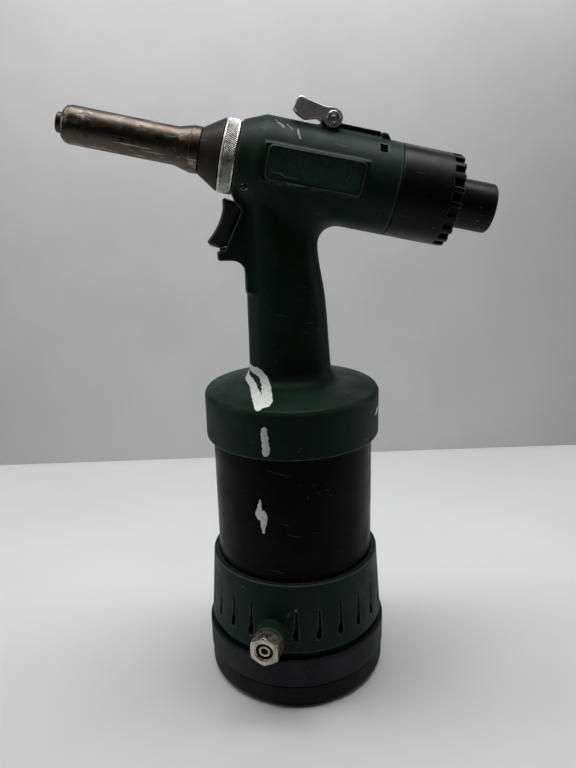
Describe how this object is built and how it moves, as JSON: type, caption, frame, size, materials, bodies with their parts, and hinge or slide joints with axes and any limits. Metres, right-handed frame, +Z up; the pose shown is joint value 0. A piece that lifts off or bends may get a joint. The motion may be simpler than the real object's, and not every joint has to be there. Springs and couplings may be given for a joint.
{
  "type": "pneumatic blind rivet gun",
  "caption": "Hand-held air-over-oil blind-rivet gun: tilted riveting head with nose barrel, pistol handle with trigger, round air cylinder, slotted base cap and rubber boot.",
  "frame": {"origin": "centre of the flat underside of the rubber boot that the gun stands on", "axes": "+Z up along the air cylinder; the nose points towards -X, 12.2 degrees nose-up; -Y is the side with the air inlet; the trigger is on the -X side"},
  "size_m": [0.2217, 0.1172, 0.3209],
  "materials": {
    "green_casting": "dark green paint on cast aluminium, satin, scuffed",
    "black_coat": "satin black anodised",
    "rubber": "black moulded rubber",
    "seal_rubber": "black nitrile",
    "burnished_steel": "burnished dark brown steel",
    "knurled_steel": "bright knurled",
    "bright_steel": "ground and polished",
    "nickel": "worn nickel plate",
    "tool_steel": "machined steel",
    "spring_steel": "drawn spring wire",
    "bronze": "machined bronze",
    "bare_aluminium": "machined aluminium",
    "felt": "pressed felt",
    "nameplate": "dark green gloss label plate"
  },
  "bodies": {
    "gun_body": {"body_casting": "green_casting", "base_cap": "green_casting", "nose_adapter": "black_coat", "rear_cap": "black_coat", "mandrel_tube": "black_coat", "hook_bracket": "black_coat", "air_cylinder": "black_coat", "boot": "rubber", "gland_seal": "seal_rubber", "rear_cap_seal": "seal_rubber", "rod_seal": "seal_rubber", "cylinder_gasket": "seal_rubber", "base_seal": "seal_rubber", "nose_barrel": "burnished_steel", "hook_pin": "bright_steel", "inlet_nut": "nickel", "inlet_nipple": "nickel", "nosepiece": "tool_steel", "oil_tube": "tool_steel", "trigger_pin": "tool_steel", "bleed_screw": "tool_steel", "bracket_screw_1": "tool_steel", "bracket_screw_2": "tool_steel", "base_screw_1": "tool_steel", "base_screw_2": "tool_steel", "base_screw_3": "tool_steel", "base_screw_4": "tool_steel", "return_spring": "spring_steel", "trigger_valve_spring": "spring_steel", "spool_spring": "spring_steel", "retaining_ring": "spring_steel", "front_gland": "bronze", "rod_gland": "bronze", "valve_plug": "bronze", "trigger_valve_body": "bronze", "base_block": "bare_aluminium", "bottom_cover": "bare_aluminium", "pilot_tube": "bare_aluminium", "silencer_ring": "felt", "nameplate_right": "nameplate", "nameplate_left": "nameplate"},
    "trigger_lever": {"trigger": "black_coat"},
    "valve_plunger": {"trigger_plunger": "bright_steel"},
    "valve_spool": {"main_valve_spool": "bright_steel"},
    "air_ram": {"air_piston": "bare_aluminium", "air_piston_seal": "seal_rubber", "ram_rod": "bright_steel", "piston_nut": "tool_steel"},
    "pull_train": {"head_piston": "tool_steel", "head_piston_seal": "seal_rubber", "draw_rod": "tool_steel", "jaw_case": "tool_steel", "jaw_spring": "spring_steel"},
    "jaw_a": {"jaw_1": "tool_steel"},
    "jaw_b": {"jaw_2": "tool_steel"},
    "jaw_c": {"jaw_3": "tool_steel"},
    "jaw_follower": {"jaw_pusher": "tool_steel"},
    "hook": {"hook_bail": "nickel"},
    "nose_ring": {"lock_ring": "knurled_steel"}
  },
  "joints": [
    {"name": "trigger_pivot", "type": "hinge", "parent": "gun_body", "child": "trigger_lever", "pos_m": [-0.0221, 0, 0.2786], "axis": [0, -1, 0], "range_deg": [0, 8], "stiffness_Nm_per_rad": 0.4, "springref_deg": -14.32},
    {"name": "trigger_plunger_slide", "type": "slide", "parent": "gun_body", "child": "valve_plunger", "axis": [1, 0, 0], "range_m": [0, 0.0032], "deforming": ["trigger_valve_spring"]},
    {"name": "main_valve_slide", "type": "slide", "parent": "gun_body", "child": "valve_spool", "axis": [0, 0, 1], "range_m": [0, 0.004], "deforming": ["spool_spring"]},
    {"name": "air_piston_slide", "type": "slide", "parent": "gun_body", "child": "air_ram", "axis": [0, 0, 1], "range_m": [0, 0.07]},
    {"name": "head_piston_slide", "type": "slide", "parent": "gun_body", "child": "pull_train", "axis": [0.9773, 0, -0.2118], "range_m": [0, 0.0188], "stiffness_N_per_m": 4000, "springref_m": -0.01, "deforming": ["return_spring"]},
    {"name": "jaw_1_slide", "type": "slide", "parent": "pull_train", "child": "jaw_a", "axis": [-0.9999, 0, 0.0161], "range_m": [0, 0.0012]},
    {"name": "jaw_2_slide", "type": "slide", "parent": "pull_train", "child": "jaw_b", "axis": [-0.9376, 0.1698, 0.3036], "range_m": [0, 0.0012]},
    {"name": "jaw_3_slide", "type": "slide", "parent": "pull_train", "child": "jaw_c", "axis": [-0.9376, -0.1698, 0.3036], "range_m": [0, 0.0012]},
    {"name": "jaw_pusher_slide", "type": "slide", "parent": "pull_train", "child": "jaw_follower", "axis": [-0.9773, 0, 0.2118], "range_m": [0, 0.0012], "deforming": ["jaw_spring"]},
    {"name": "hook_swing", "type": "hinge", "parent": "gun_body", "child": "hook", "pos_m": [0.0231, 0, 0.31043], "axis": [0, 1, 0], "range_deg": [0, 150]},
    {"name": "lock_ring_turn", "type": "hinge", "parent": "gun_body", "child": "nose_ring", "pos_m": [-0.02873, 0, 0.29363], "axis": [0.9773, 0, -0.2118], "range_deg": [0, 360]}
  ],
  "couplings": [
    {"joint": "trigger_plunger_slide", "follows": "trigger_pivot", "m_per_rad": 0.0226},
    {"joint": "main_valve_slide", "follows": "trigger_pivot", "m_per_rad": 0.0286},
    {"joint": "head_piston_slide", "follows": "air_piston_slide", "ratio": 0.2672},
    {"joint": "jaw_1_slide", "follows": "air_piston_slide", "ratio": 0.017},
    {"joint": "jaw_2_slide", "follows": "air_piston_slide", "ratio": 0.017},
    {"joint": "jaw_3_slide", "follows": "air_piston_slide", "ratio": 0.017},
    {"joint": "jaw_pusher_slide", "follows": "air_piston_slide", "ratio": 0.017}
  ]
}
